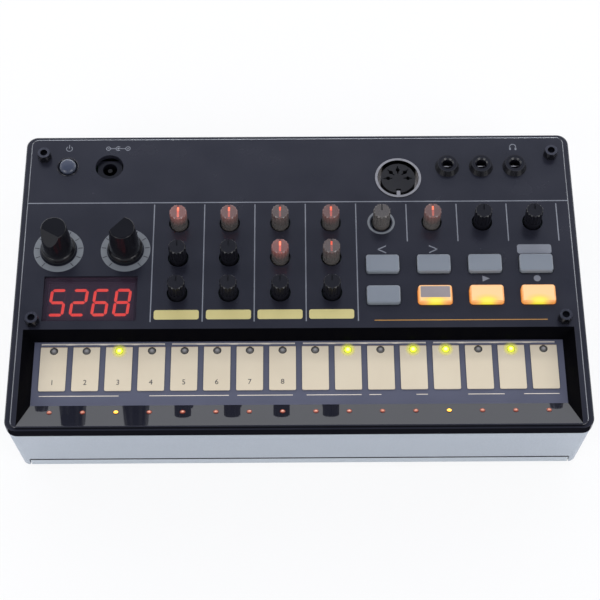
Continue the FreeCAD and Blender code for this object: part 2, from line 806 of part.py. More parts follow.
def make_batteries():
    cells = []
    contacts = []
    left = box_x - box_half_w + contact_thick
    for row in range(cell_rows):
        y = box_y + (row - (cell_rows - 1) / 2) * cell_pitch
        way = 1 if row == 0 else -1
        start = -box_half_w + contact_thick + spring_space
        for i in range(cells_in_row):
            x0 = start + i * (cell_length + nub_length)
            can = Part.makeCylinder(cell_r, cell_length, V(box_x + way * x0, y, cell_z), V(way, 0, 0))
            nub = Part.makeCylinder(nub_r, nub_length, V(box_x + way * (x0 + cell_length), y, cell_z), V(way, 0, 0))
            cells.append(can.fuse(nub))
        for sx in (-1, 1):
            x = box_x + sx * (box_half_w - contact_thick / 2)
            contacts.append(block(x, y, cell_z - cell_r + 1, contact_thick, 2 * cell_r - 3, 2 * cell_r - 2))
        spring = Part.makeCylinder(3.2, spring_space, V(box_x + way * (-box_half_w + contact_thick), y, cell_z),
                                   V(way, 0, 0))
        bore = Part.makeCylinder(2.6, spring_space, V(box_x + way * (-box_half_w + contact_thick), y, cell_z),
                                 V(way, 0, 0))
        contacts.append(spring.cut(bore))
    save("battery_cells", cells)
    save("battery_contacts", contacts)


make_top_cover()
make_lower_case()
make_base_plate()
make_battery_cover()
make_feet()
make_panel_posts()
make_base_screws()
make_keypad()
make_small_knobs()
make_big_knobs()
make_keys()
make_sockets()
make_display()
make_main_board()
make_ribbon()
make_speaker()
make_batteries()
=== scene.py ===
import math

import bmesh
import bpy
from mathutils import Matrix, Vector


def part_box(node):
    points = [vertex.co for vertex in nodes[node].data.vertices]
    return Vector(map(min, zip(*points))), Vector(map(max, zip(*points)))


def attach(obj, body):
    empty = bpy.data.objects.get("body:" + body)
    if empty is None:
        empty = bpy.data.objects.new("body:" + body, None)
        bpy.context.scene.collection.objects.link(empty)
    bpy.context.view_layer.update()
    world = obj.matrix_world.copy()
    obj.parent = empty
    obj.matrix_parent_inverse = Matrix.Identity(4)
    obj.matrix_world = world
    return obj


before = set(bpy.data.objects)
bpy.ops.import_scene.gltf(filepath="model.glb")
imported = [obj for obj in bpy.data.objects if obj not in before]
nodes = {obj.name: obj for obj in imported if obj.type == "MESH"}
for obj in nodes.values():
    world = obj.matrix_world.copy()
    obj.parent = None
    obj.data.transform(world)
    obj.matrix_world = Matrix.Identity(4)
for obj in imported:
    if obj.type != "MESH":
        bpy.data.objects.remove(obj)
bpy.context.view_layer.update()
mm = 0.001


# Camera: a long lens looking down at about 61 degrees from in front of the machine,
# a touch left of its middle, so that the whole panel and the silver front edge show.

camera_place = Vector((-1.0, -288.9, 543.58)) * mm
camera_aim = Vector((0.00306, 0.47816, -0.87827))
camera_data = bpy.data.cameras.new("camera")
camera_data.lens = 103.44
camera_data.sensor_width = 36.0
camera_data.shift_x = -0.0015
camera_data.shift_y = 0.0006
camera_data.clip_start = 0.01
camera = bpy.data.objects.new("camera", camera_data)
bpy.context.scene.collection.objects.link(camera)
camera.location = camera_place
camera.rotation_mode = "QUATERNION"
camera.rotation_quaternion = camera_aim.to_track_quat("-Z", "Y")
bpy.context.scene.camera = camera
bpy.context.scene.view_settings.view_transform = "Standard"


# Studio: a white paper sweep that shows white behind the machine and keeps its soft shadow.
# Two soft boxes stand in front, and three strip lights behind and beside the machine draw a
# thin highlight along its rounded edges. The room is palest low down and brighter at the back.

def feed(tree, part, inputs):
    """Give each listed input of a node a plain value or another node's result."""
    for key, value in inputs.items():
        if isinstance(value, bpy.types.NodeSocket):
            tree.links.new(value, part.inputs[key])
        else:
            part.inputs[key].default_value = value


def grow(tree, kind, inputs, **settings):
    """A new node with its settings and its inputs."""
    part = tree.nodes.new("ShaderNode" + kind)
    for key, value in settings.items():
        setattr(part, key, value)
    feed(tree, part, inputs)
    return part


def maths(tree, operation, *values):
    """The result of one step of arithmetic."""
    return grow(tree, "Math", dict(enumerate(values)), operation=operation).outputs[0]


def coordinates(tree, kind):
    """Where a point lies, or with Normal the way its surface faces."""
    return grow(tree, "TexCoord", {}).outputs[kind]


def axes(tree, vector):
    """The X, Y and Z parts of a vector."""
    return grow(tree, "SeparateXYZ", {"Vector": vector}).outputs


def remap(tree, value, low, high, start=0.0, end=1.0):
    """A result that goes from low to high as the value goes from start to end."""
    limits = {"From Min": start, "From Max": end, "To Min": low, "To Max": high}
    return grow(tree, "MapRange", {"Value": value, **limits}).outputs["Result"]


def ramp(tree, value, *stops):
    """Colours that change with a value; each stop is a position and a colour, in rising order."""
    part = grow(tree, "ValToRGB", {"Fac": value})
    elements = part.color_ramp.elements
    for k, (position, colour) in enumerate(stops):
        stop = elements[k] if k < 2 else elements.new(position)
        stop.position = position
        stop.color = (*colour, 1)
    return part.outputs["Color"]


def blank_finish(name, inputs):
    """A fresh material, its node tree and its main shader."""
    finish = bpy.data.materials.new(name)
    finish.use_nodes = True
    tree = finish.node_tree
    shader = tree.nodes["Principled BSDF"]
    feed(tree, shader, inputs)
    return finish, tree, shader


def paper_finish():
    """White paper that the camera sees mostly as plain white, with a light shadow."""
    paper = {"Base Color": (0.88, 0.88, 0.88, 1), "Roughness": 0.9}
    finish, tree, shader = blank_finish("white_paper", paper)
    glow = grow(tree, "Emission", {})
    ray = grow(tree, "LightPath", {})
    share = maths(tree, "MULTIPLY", ray.outputs["Is Camera Ray"], 0.86)
    mix = grow(tree, "MixShader", {"Fac": share, 1: shader.outputs[0], 2: glow.outputs[0]})
    feed(tree, tree.nodes["Material Output"], {"Surface": mix.outputs[0]})
    return finish


def link_mesh(name, mesh, finish):
    """A new object in the scene with one finish."""
    piece = bpy.data.objects.new(name, mesh)
    bpy.context.scene.collection.objects.link(piece)
    mesh.materials.append(finish)
    return piece


half_sheet = 2
sheet_corners = [(-half_sheet, -half_sheet, 0), (half_sheet, -half_sheet, 0),
                 (half_sheet, half_sheet, 0), (-half_sheet, half_sheet, 0)]
sheet = bpy.data.meshes.new("paper_sweep")
sheet.from_pydata(sheet_corners, [], [(0, 1, 2, 3)])
link_mesh("paper_sweep", sheet, paper_finish())

world = bpy.data.worlds.new("studio")
world.use_nodes = True
bpy.context.scene.world = world
room = world.node_tree
toward = axes(room, coordinates(room, "Generated"))
walls = ramp(room, toward["Z"], (0.24, (0.98, 1.0, 1.03)), (0.62, (0.62, 0.65, 0.76)),
             (0.80, (0.55, 0.59, 0.74)), (0.90, (0.17, 0.19, 0.27)))
sky = room.nodes["Background"]
feed(room, sky, {"Color": walls, "Strength": remap(room, toward["Y"], 1.0, 1.5, 0.2, 0.95)})
seen = grow(room, "Background", {"Color": (1, 1, 1, 1)})
camera_ray = grow(room, "LightPath", {}).outputs["Is Camera Ray"]
choose = grow(room, "MixShader", {"Fac": camera_ray, 1: sky.outputs[0], 2: seen.outputs[0]})
feed(room, room.nodes["World Output"], {"Surface": choose.outputs[0]})


def soft_box(name, place, width, height, watts):
    """A rectangular light, in metres, turned towards the machine."""
    data = bpy.data.lights.new(name, "AREA")
    data.shape = "RECTANGLE"
    data.size = width
    data.size_y = height
    data.energy = watts
    lamp = bpy.data.objects.new(name, data)
    bpy.context.scene.collection.objects.link(lamp)
    lamp.location = place
    lamp.rotation_mode = "QUATERNION"
    machine = Vector((0, 0, 0.02))
    lamp.rotation_quaternion = (machine - Vector(place)).to_track_quat("-Z", "Y")


box_side = 0.62
strip_height = 0.09
soft_box("front_left_box", (-0.75, -0.75, 0.62), box_side, box_side, 3.8)
soft_box("front_right_box", (0.75, -0.75, 0.62), box_side, box_side, 4.4)
soft_box("back_strip", (0, 1.0, 0.48), 1.5, strip_height, 4.5)
soft_box("left_strip", (-0.95, 0.55, 0.45), 0.9, strip_height, 2.5)
soft_box("right_strip", (0.95, 0.55, 0.45), 0.9, strip_height, 2.5)


# Top cover: one injection-moulded ABS shell, black with a fine spark-eroded grain and a satin
# gloss, with a painted highlight along its edges at the back and the sides, and painted shade on
# the keypad well's walls and the front skirt. Four hex posts hold it down.

def noise(tree, vector, scale, detail=2):
    """Soft clouds from 0 to 1; the scale is how many fit in a metre."""
    inputs = {"Vector": vector, "Scale": scale, "Detail": detail}
    return grow(tree, "TexNoise", inputs).outputs["Fac"]


def bumps(tree, height, strength):
    """A surface raised by up to a twentieth of a millimetre."""
    inputs = {"Height": height, "Strength": strength, "Distance": 0.05 * mm}
    return grow(tree, "Bump", inputs).outputs["Normal"]


def plastic_finish(name, colour, shade, rough, grain, depth, wave=0.06, shine=0.5):
    """Moulded plastic: cloudy pigment, uneven gloss and a fine grain, its size in millimetres."""
    finish, tree, shader = blank_finish(name, {"Specular IOR Level": shine})
    spot = coordinates(tree, "Object")
    cloud = noise(tree, spot, 70, 5)
    feed(tree, shader, {
        "Base Color": ramp(tree, cloud, (0.3, shade), (0.7, colour)),
        "Roughness": remap(tree, cloud, rough - wave, rough + wave),
        "Normal": bumps(tree, noise(tree, spot, 1.0 / (grain * mm)), depth),
    })
    return finish


def opened(finish):
    """The node tree and the main shader of a finish."""
    return finish.node_tree, finish.node_tree.nodes["Principled BSDF"]


def source(shader, name):
    """What feeds an input so far."""
    return shader.inputs[name].links[0].from_socket


def dress(finish, *names):
    """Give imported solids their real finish."""
    for name in names:
        for slot in nodes[name].material_slots:
            slot.material = finish


def product(tree, first, *others):
    """All the shares multiplied together."""
    for other in others:
        first = maths(tree, "MULTIPLY", first, other)
    return first


def between(tree, value, low, high):
    """1 where the value lies between the limits, else 0."""
    return product(tree, maths(tree, "GREATER_THAN", value, low), maths(tree, "LESS_THAN", value, high))


def blend(tree, share, first, second):
    """A value that goes from the first to the second as the share goes from 0 to 1."""
    return grow(tree, "Mix", {"Factor": share, "A": first, "B": second}).outputs["Result"]


def blend_colour(tree, share, first, second):
    """The same for a colour that goes to a plain second one."""
    inputs = {"Factor": share, "A": first, "B": (*second, 1)}
    return grow(tree, "Mix", inputs, data_type="RGBA").outputs["Result"]


def cover_finish():
    """The moulding's grain, with painted shade on the well walls and the front skirt, a polished slope
    and a painted highlight on the back and side edges.
    """
    usual_shine = 0.5
    grain_depth = 0.10
    finish = plastic_finish("cover_black", (0.0150, 0.0155, 0.023), (0.0120, 0.0125, 0.019),
                            rough=0.24, grain=0.10, depth=grain_depth, wave=0.10, shine=usual_shine)
    tree, shader = opened(finish)
    spot = coordinates(tree, "Object")
    where = axes(tree, spot)
    facing = axes(tree, coordinates(tree, "Normal"))

    def lies(axis, low, high):
        """1 between two places on an axis, in millimetres."""
        return between(tree, where[axis], low * mm, high * mm)

    def leans(axis, low, high):
        """1 where the surface faces along an axis by a share between the limits."""
        return between(tree, facing[axis], low, high)

    inside = product(tree, lies("X", -92.5, 92.5), lies("Y", -56.05, -20.3), lies("Z", 25.0, 30.98))
    slope = product(tree, inside, leans("Y", 0.2, 0.8))
    # Painted shade: the walls inside the keypad well are painted near black and barely reflect.
    dark = product(tree, inside, leans("Y", -1.1, 0.1))
    # Painted shade: the outer face of the front skirt is painted darker than the top and does not
    # reflect.
    skirt = product(tree, leans("Y", -1.1, -0.5), lies("Y", -60.0, -56.4))
    rounded = product(tree, leans("Z", 0.10, 0.985), leans("Y", -0.3, 1.1), lies("Z", 30.45, 30.99))
    across = maths(tree, "ABSOLUTE", where["X"])
    sides = product(tree, rounded, between(tree, across, 94.0 * mm, 97.0 * mm))
    back = product(tree, rounded, lies("Y", 55.5, 58.0))
    edge = maths(tree, "MAXIMUM", maths(tree, "MULTIPLY", sides, 0.35), back)
    # Painted highlight: a pale line along the rounded back and side edges, fainter at the sides and
    # broken up by noise.
    painted_edge_highlight = product(tree, edge, remap(tree, noise(tree, spot, 40), 0.45, 0.95, 0.3, 0.7))

    colour = blend_colour(tree, dark, source(shader, "Base Color"), (0.0018, 0.0018, 0.0026))
    colour = blend_colour(tree, skirt, colour, (0.006, 0.006, 0.008))
    colour = blend_colour(tree, painted_edge_highlight, colour, (0.55, 0.57, 0.60))
    rough = blend(tree, slope, source(shader, "Roughness"), 0.03)
    rough = blend(tree, edge, rough, 0.14)
    shine = blend(tree, slope, usual_shine, 0.62)
    shine = blend(tree, dark, shine, 0.02)
    shine = blend(tree, skirt, shine, 0.0)
    feed(tree, shader, {"Base Color": colour, "Roughness": rough, "Specular IOR Level": shine})
    feed(tree, tree.nodes["Bump"], {"Strength": blend(tree, slope, grain_depth, 0.0)})
    return finish


dress(cover_finish(), "top_cover")


# Lower case and base: a moulded frame sprayed satin silver, its walls leaning in towards the
# bottom, and a slightly paler base plate. Fine metal flake in the paint makes it sparkle a little.

def silver_finish(name, colour):
    """Flaked paint, with a painted shadow line across the faces at the seam above the base plate."""
    finish, tree, shader = blank_finish(name, {"Metallic": 0.35})
    spot = coordinates(tree, "Object")
    where = axes(tree, spot)
    flake = grow(tree, "TexVoronoi", {"Vector": spot, "Scale": 5200}).outputs["Color"]
    tint = ramp(tree, flake, (0.0, [0.84 * part for part in colour]), (1.0, colour))
    plate_low, plate_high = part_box("base_plate")
    # Painted shadow: a dark band along the seam between the silver frame and the base plate.
    painted_seam_shadow = product(tree, between(tree, where["Z"], 4.95 * mm, 6.10 * mm),
                   between(tree, where["X"], plate_low.x, plate_high.x))
    feed(tree, shader, {
        "Base Color": blend_colour(tree, painted_seam_shadow, tint, (0.02, 0.02, 0.022)),
        "Roughness": remap(tree, noise(tree, spot, 45), 0.30, 0.42),
    })
    return finish


dress(silver_finish("satin_silver", (0.45, 0.485, 0.52)), "lower_case")
dress(silver_finish("plate_silver", (0.53, 0.57, 0.60)), "base_plate", "battery_cover")


# Feet: four soft black rubber discs stuck to the base plate. They are matt and slightly
# dusty, with a coarse grain.

foot_rubber = plastic_finish("foot_rubber", (0.03, 0.03, 0.03), (0.02, 0.02, 0.02),
                             rough=0.8, grain=0.5, depth=0.3)
dress(foot_rubber, "rubber_feet")


# Hex posts and screws: blackened steel posts at the panel's corners, zinc-plated cross-head
# screws under the base and on the main board. Turned metal with fine machining marks.

def metal_finish(name, colour, shade, rough, metallic=1.0):
    """Plated or turned metal with fine streaks round its axis."""
    finish, tree, shader = blank_finish(name, {"Metallic": metallic})
    squeezed = {"Vector": coordinates(tree, "Object"), "Scale": (1, 1, 9)}
    streak = noise(tree, grow(tree, "Mapping", squeezed).outputs["Vector"], 900)
    feed(tree, shader, {
        "Base Color": ramp(tree, streak, (0.0, shade), (1.0, colour)),
        "Roughness": remap(tree, streak, rough - 0.05, rough + 0.07),
    })
    return finish


black_steel = metal_finish("black_steel", (0.14, 0.14, 0.155), (0.06, 0.06, 0.068), rough=0.25)
dress(black_steel, "panel_posts")
zinc = metal_finish("zinc_plate", (0.62, 0.62, 0.60), (0.45, 0.45, 0.44), rough=0.32)
dress(zinc, "base_screws", "board_screws")


# Printed rules and plates on the cover: pale grey screen ink, two hundredths of a millimetre
# thick, that splits the face into fields. Yellow-cream plates sit under the first columns, and
# an amber rule under the others.

face_top = 31.0
ink = 0.02


def slab(name, outlines, low, thick, finish, body="case"):
    """Flat ink or foil: closed outlines in millimetres, raised by their thickness."""
    form = bmesh.new()
    for outline in outlines:
        under = [form.verts.new((x * mm, y * mm, low * mm)) for x, y in outline]
        over = [form.verts.new((x * mm, y * mm, (low + thick) * mm)) for x, y in outline]
        form.faces.new(over)
        form.faces.new(list(reversed(under)))
        for i in range(len(outline)):
            j = (i + 1) % len(outline)
            form.faces.new((under[i], under[j], over[j], over[i]))
    bmesh.ops.recalc_face_normals(form, faces=form.faces)
    mesh = bpy.data.meshes.new(name)
    form.to_mesh(mesh)
    form.free()
    piece = link_mesh(name, mesh, finish)
    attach(piece, body)
    return piece


def rule(x0, y0, x1, y1, width):
    """A straight line of that width."""
    dx, dy = x1 - x0, y1 - y0
    length = math.hypot(dx, dy)
    nx, ny = -dy / length * width / 2, dx / length * width / 2
    return [(x0 + nx, y0 + ny), (x0 - nx, y0 - ny), (x1 - nx, y1 - ny), (x1 + nx, y1 + ny)]


def plate(x0, x1, y0, y1, corner, steps=5):
    """A rectangle with rounded corners."""
    points = []
    for cx, cy, start in ((x1 - corner, y1 - corner, 0), (x0 + corner, y1 - corner, 90),
                          (x0 + corner, y0 + corner, 180), (x1 - corner, y0 + corner, 270)):
        for k in range(steps + 1):
            a = math.radians(start + 90 * k / steps)
            points.append((cx + corner * math.cos(a), cy + corner * math.sin(a)))
    return points


def ink_finish(name, colour, shade):
    """Screen-printed ink: slightly uneven cover, rougher than the moulding under it."""
    return plastic_finish(name, colour, shade, rough=0.55, grain=0.12, depth=0.25)


grey_ink = ink_finish("grey_ink", (0.225, 0.235, 0.26), (0.18, 0.19, 0.21))
line_width = 0.38
rules = [rule(-94.2, 29.3, 94.2, 29.3, line_width)]
rules += [rule(x, 28.5, x, -17.8, line_width) for x in (-50.0, -32.5, -15.0, 2.55, 20.1)]
rules += [rule(x, 28.2, x, 13.1, line_width) for x in (37.65, 55.15, 72.6, 90.0)]
slab("face_rules", rules, face_top, ink, grey_ink)
slab("grey_plate", [plate(75.3, 87.1, 8.0, 11.65, 0.9)], face_top, ink, grey_ink)

cream_ink = ink_finish("cream_ink", (0.62, 0.54, 0.22), (0.56, 0.48, 0.19))
half_plate = 7.6
cream_plates = [plate(x - half_plate, x + half_plate, -16.9, -13.3, 0.8)
                for x in (-41.27, -23.67, -6.27, 11.13)]
slab("cream_plates", cream_plates, face_top, ink, cream_ink)
amber_ink = ink_finish("amber_ink", (0.50, 0.24, 0.04), (0.40, 0.19, 0.03))
slab("amber_rule", [rule(25.5, -17.6, 83.8, -17.6, 0.3)], face_top, ink, amber_ink)


# Printed signs: two arrows, the play and record signs, and the signs by the power button,
# the power socket and the headphone jack. Plain signs in the same grey ink.

def band(x, y, inner, outer, start, end, steps):
    """A ring or part of one, as small four-sided pieces."""
    pieces = []
    for k in range(steps):
        a = math.radians(start + (end - start) * k / steps)
        b = math.radians(start + (end - start) * (k + 1) / steps)
        pieces.append([(x + r * math.cos(t), y + r * math.sin(t))
                       for r, t in ((inner, a), (outer, a), (outer, b), (inner, b))])
    return pieces


def disc(x, y, radius, steps=24):
    """A filled circle."""
    return [(x + radius * math.cos(math.tau * k / steps), y + radius * math.sin(math.tau * k / steps))
            for k in range(steps)]


def arrow(tip_x, tail_x):
    """Two strokes that meet at the tip."""
    middle, spread, stroke = 9.95, 1.4, 0.4
    return [rule(tail_x, middle + spread, tip_x, middle, stroke),
            rule(tip_x, middle, tail_x, middle - spread, stroke)]


play_x, play_y, play_half = 62.75, -1.75, 1.15
play_sign = [(play_x, play_y + play_half), (play_x, play_y - play_half), (65.2, play_y)]
record_sign = disc(81.4, play_y, 1.2)
signs = [*arrow(27.4, 30.2), *arrow(47.8, 45.0), play_sign, record_sign]

sign_y = 52.0
power_sign_x = -81.1
signs += band(power_sign_x, sign_y, 0.92, 1.16, 125, 415, 22)
signs += [rule(power_sign_x, sign_y + 0.1, power_sign_x, sign_y + 1.6, 0.24)]

minus_x, pin_x, plus_x = -67.2, -63.7, -60.3
stroke, wire = 0.2, 0.22
signs += band(pin_x, sign_y, 0.72, 0.94, 45, 315, 18)
signs += [disc(pin_x, sign_y, 0.36, 12), rule(pin_x + 0.4, sign_y, plus_x - 0.9, sign_y, wire)]
signs += band(minus_x, sign_y, 0.62, 0.84, 0, 360, 20)
signs += [rule(minus_x - 0.3, sign_y, minus_x + 0.3, sign_y, stroke),
          rule(minus_x + 0.9, sign_y, pin_x - 1.0, sign_y, wire)]
signs += band(plus_x, sign_y, 0.70, 0.92, 0, 360, 20)
signs += [rule(plus_x - 0.4, sign_y, plus_x + 0.4, sign_y, stroke),
          rule(plus_x, sign_y - 0.4, plus_x, sign_y + 0.4, stroke)]

headphone_x, ear_out, ear_in = 76.5, 1.3, 0.65
signs += band(headphone_x, 51.9, 0.92, 1.18, -35, 215, 20)
signs += [plate(headphone_x - ear_out, headphone_x - ear_in, 50.5, 51.6, 0.25),
          plate(headphone_x + ear_in, headphone_x + ear_out, 50.5, 51.6, 0.25)]
slab("face_signs", signs, face_top, ink, grey_ink)


# Scales: a pale grey ring printed round each large knob with eleven dark ticks, and a thin
# ring round the first shaft of the right-hand group.

scale_ink = ink_finish("scale_ink", (0.19, 0.205, 0.215), (0.155, 0.165, 0.175))
tick_ink = ink_finish("tick_ink", (0.02, 0.02, 0.026), (0.015, 0.015, 0.02))
tick_count = 11
tick_angle = 27.9
knob_y = 10.3
scales = []
ticks = []
for x in (-82.4, -59.4):
    scales += band(x, knob_y, 6.4, 8.55, 0, 360, 64)
    for k in range(tick_count):
        a = math.radians(90 + (k - (tick_count - 1) / 2) * tick_angle)
        ticks.append(rule(x + 6.7 * math.cos(a), knob_y + 6.7 * math.sin(a),
                          x + 8.3 * math.cos(a), knob_y + 8.3 * math.sin(a), 0.3))
scales += band(28.8, 20.8, 4.0, 4.75, 0, 360, 48)
slab("knob_scales", scales, face_top, ink, scale_ink)
slab("knob_ticks", ticks, face_top + ink, ink / 2, tick_ink)


# Large knobs: glossy black caps moulded with a flared skirt and one sloping facet that points.
# They push on to the metal shafts of the two large potentiometers.

knob_gloss = plastic_finish("knob_gloss", (0.006, 0.006, 0.008), (0.004, 0.004, 0.005),
                            rough=0.18, grain=0.6, depth=0.02, wave=0.03, shine=0.22)
dress(knob_gloss, "big_knob_left", "big_knob_right")
turned_shaft = metal_finish("turned_shaft", (0.72, 0.72, 0.71), (0.6, 0.6, 0.6), rough=0.28)
dress(turned_shaft, "big_shaft_left", "big_shaft_right")


# Small shafts: fluted plastic spindles that stand straight out of their potentiometers.
# Half are black and half are clear. A red lamp under all but one of the clear ones shines
# through as a bar; the number beside each clear shaft is how brightly.

clear_knobs = {1: 0.9, 2: 0.55, 3: 0.16, 4: 0.5, 7: 0.95, 8: 0.12, 13: 0.0, 14: 0.5}
shaft_black = plastic_finish("shaft_black", (0.007, 0.007, 0.010), (0.004, 0.004, 0.006),
                             rough=0.3, grain=0.3, depth=0.05, wave=0.05, shine=0.34)


def clear_finish(name, glow):
    """Clear moulding with the lamp's red spreading through its top."""
    finish = plastic_finish(name, (0.22, 0.20, 0.185), (0.16, 0.145, 0.135),
                            rough=0.2, grain=0.4, depth=0.05, wave=0.04, shine=0.45)
    tree, shader = opened(finish)
    where = axes(tree, coordinates(tree, "Object"))
    feed(tree, shader, {
        "Transmission Weight": 0.55,
        "IOR": 1.49,
        "Emission Color": (1.0, 0.20, 0.16, 1),
        "Emission Strength": remap(tree, where["Z"], 0.0, 0.13 * glow, 34.0 * mm, 38.8 * mm),
    })
    return finish


def lamp_finish(name, deep, bright, strength, size):
    """A glowing lamp whose colour wanders between two tones over that many millimetres."""
    inputs = {"Base Color": (*deep, 1), "Roughness": 0.3, "Emission Strength": strength}
    finish, tree, shader = blank_finish(name, inputs)
    cloud = noise(tree, coordinates(tree, "Object"), 1.0 / (size * mm))
    feed(tree, shader, {"Emission Color": ramp(tree, cloud, (0.35, deep), (0.6, bright))})
    return finish


def middle_of(low, high):
    """The middle of a box seen from above, in millimetres."""
    return (low.x + high.x) / 2 / mm, (low.y + high.y) / 2 / mm


for knob in range(1, 17):
    node = "knob_%02d" % knob
    low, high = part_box(node)
    if knob not in clear_knobs:
        dress(shaft_black, node)
        continue
    glow = clear_knobs[knob]
    dress(clear_finish("shaft_clear_%02d" % knob, glow), node)
    if glow:
        x, y = middle_of(low, high)
        lamp = lamp_finish("knob_lamp_%02d" % knob, (1.0, 0.10, 0.05), (1.0, 0.22, 0.12),
                           0.4 + 1.8 * glow, 3)
        bar_outline = plate(x - 0.36, x + 0.36, y - 1.9, y + 2.0, 0.3)
        slab("knob_bar_%02d" % knob, [bar_outline], high.z / mm - 1.1, 0.6, lamp, node)


# Keys: moulded from translucent grey plastic with rounded edges, each on its own switch.
# Three have a lamp behind them that warms the whole key and is brightest at its front edge.
# The first of those carries a dull printed patch.

grey_key = plastic_finish("grey_key", (0.195, 0.215, 0.238), (0.182, 0.202, 0.225),
                          rough=0.36, grain=0.3, depth=0.08, wave=0.03)
dress(grey_key, "key_1", "key_2", "key_3", "key_4", "key_5")


def distance(tree, shift, stretch):
    """How far a point lies from a spot in the piece's own box, seen from above."""
    inputs = {"Vector": coordinates(tree, "Generated"), "Location": shift, "Scale": stretch}
    moved = grow(tree, "Mapping", inputs).outputs["Vector"]
    return grow(tree, "VectorMath", {0: moved}, operation="LENGTH").outputs["Value"]


def lit_key_finish():
    """Warm translucent plastic: glow falls off from the lamp at the key's front edge."""
    inputs = {"Base Color": (0.36, 0.24, 0.11, 1), "Roughness": 0.36, "Emission Strength": 0.72}
    finish, tree, shader = blank_finish("lit_key", inputs)
    away = distance(tree, (-0.5, -0.20, 0), (1.0, 1.25, 0))
    tint = ramp(tree, away, (0.05, (0.98, 0.92, 0.0)), (0.16, (1.0, 0.80, 0.0)),
                (0.27, (0.95, 0.60, 0.14)), (0.42, (0.90, 0.60, 0.30)), (0.95, (0.90, 0.56, 0.28)))
    where = axes(tree, coordinates(tree, "Generated"))
    middle = product(tree, between(tree, where["X"], 0.105, 0.895), between(tree, where["Y"], 0.17, 0.85))
    border = maths(tree, "SUBTRACT", 1.0, middle)
    rim = product(tree, border, remap(tree, away, 0.0, 1.0, 0.12, 0.34))
    feed(tree, shader, {
        "Emission Color": blend_colour(tree, rim, tint, (0.85, 0.26, 0.03)),
        "Normal": bumps(tree, noise(tree, coordinates(tree, "Object"), 3000), 0.06),
    })
    return finish


dress(lit_key_finish(), "key_6", "key_7", "key_8")
low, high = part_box("key_6")
key_x, key_y = middle_of(low, high)
patch_ink = ink_finish("key_patch", (0.30, 0.26, 0.255), (0.26, 0.225, 0.22))
patch_outline = plate(key_x - 5.0, key_x + 5.0, key_y - 1.5, key_y + 2.75, 0.3)
slab("key_patch", [patch_outline], high.z / mm, ink, patch_ink, "key_6")


# Power button: a smoked cap with a low dome, set in a glossy black ring in the panel's top
# left corner.

def turned(name, profile, place, aim, finish, body, steps=32):
    """A piece turned on a lathe: profile points are (radius, height) in millimetres."""
    form = bmesh.new()
    rings = []
    for radius, height in profile:
        if radius == 0:
            rings.append([form.verts.new((0, 0, height * mm))])
        else:
            rings.append([form.verts.new((radius * mm * math.cos(math.tau * k / steps),
                                          radius * mm * math.sin(math.tau * k / steps), height * mm))
                          for k in range(steps)])
    for lower, upper in zip(rings, rings[1:]):
        for k in range(steps):
            j = (k + 1) % steps
            if len(upper) == 1:
                form.faces.new((lower[k], lower[j], upper[0]))
            else:
                form.faces.new((lower[k], lower[j], upper[j], upper[k]))
    bmesh.ops.recalc_face_normals(form, faces=form.faces)
    for face in form.faces:
        face.smooth = True
    turn = Vector(aim).to_track_quat("Z", "Y").to_matrix().to_4x4()
    form.transform(Matrix.Translation(Vector(place) * mm) @ turn)
    mesh = bpy.data.meshes.new(name)
    form.to_mesh(mesh)
    form.free()
    piece = link_mesh(name, mesh, finish)
    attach(piece, body)
    return piece


up = (0, 0, 1)
smoked_cap = plastic_finish("smoked_cap", (0.070, 0.080, 0.112), (0.045, 0.053, 0.078),
                            rough=0.08, grain=0.9, depth=0.02, wave=0.04)
dress(smoked_cap, "power_button")
low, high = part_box("power_button")
power_x, power_y = middle_of(low, high)
dome_place = (power_x, power_y, high.z / mm - 0.01)
dome_radius, dome_height = 2.6, 0.55
dome_profile = [(dome_radius * math.sin(math.radians(a)), dome_height * math.cos(math.radians(a)))
                for a in range(90, -1, -10)]
turned("power_dome", dome_profile, dome_place, up, smoked_cap, "power_button")
bezel_gloss = plastic_finish("bezel_gloss", (0.006, 0.006, 0.010), (0.004, 0.004, 0.007),
                             rough=0.08, grain=0.5, depth=0.02, wave=0.03)
bezel = ((3.36, 0.0), (3.40, 0.2), (3.5, 0.3), (3.66, 0.3), (3.78, 0.2), (3.84, 0.0))
turned("power_bezel", bezel, (power_x, power_y, face_top), up, bezel_gloss, "case")


# Sockets: black moulded jacks with round black nuts and a nickel contact in each bore, a square
# power socket whose plated pin carries painted shade from its deep bore, and a round socket whose
# bright shell is pressed from nickel-plated steel.

socket_black = plastic_finish("socket_black", (0.007, 0.007, 0.011), (0.004, 0.004, 0.007),
                              rough=0.22, grain=0.3, depth=0.05, wave=0.04, shine=0.35)
dress(socket_black, "jack_sockets", "dc_socket")
nut_gloss = plastic_finish("nut_gloss", (0.009, 0.009, 0.011), (0.006, 0.006, 0.007),
                           rough=0.17, grain=0.5, depth=0.03, wave=0.04)
dress(nut_gloss, "jack_nuts")
nickel = metal_finish("nickel_plate", (0.66, 0.62, 0.56), (0.40, 0.38, 0.345), rough=0.12)
dress(nickel, "din_shell", "battery_contacts")
# Painted shade: the power socket's plated pin is painted dark, as if in the shade of its deep bore.
dress(metal_finish("painted_shade_pin", (0.06, 0.058, 0.055), (0.03, 0.03, 0.028), rough=0.4), "dc_pin")
insert_grey = plastic_finish("insert_grey", (0.016, 0.016, 0.018), (0.010, 0.010, 0.012),
                             rough=0.5, grain=0.25, depth=0.15, wave=0.1, shine=0.25)
dress(insert_grey, "din_insert")

jack_low, jack_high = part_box("jack_nuts")
jack_x, jack_y = middle_of(jack_low, jack_high)
nut_half = (jack_high.y - jack_low.y) / 2 / mm
contact_y = jack_y + 0.35
for k, x in enumerate((jack_low.x / mm + nut_half, jack_x, jack_high.x / mm - nut_half)):
    contact = rule(x - 1.5, contact_y, x + 1.5, contact_y, 0.5)
    slab("jack_contact_%d" % (k + 1), [contact], 30.6, 0.15, nickel)


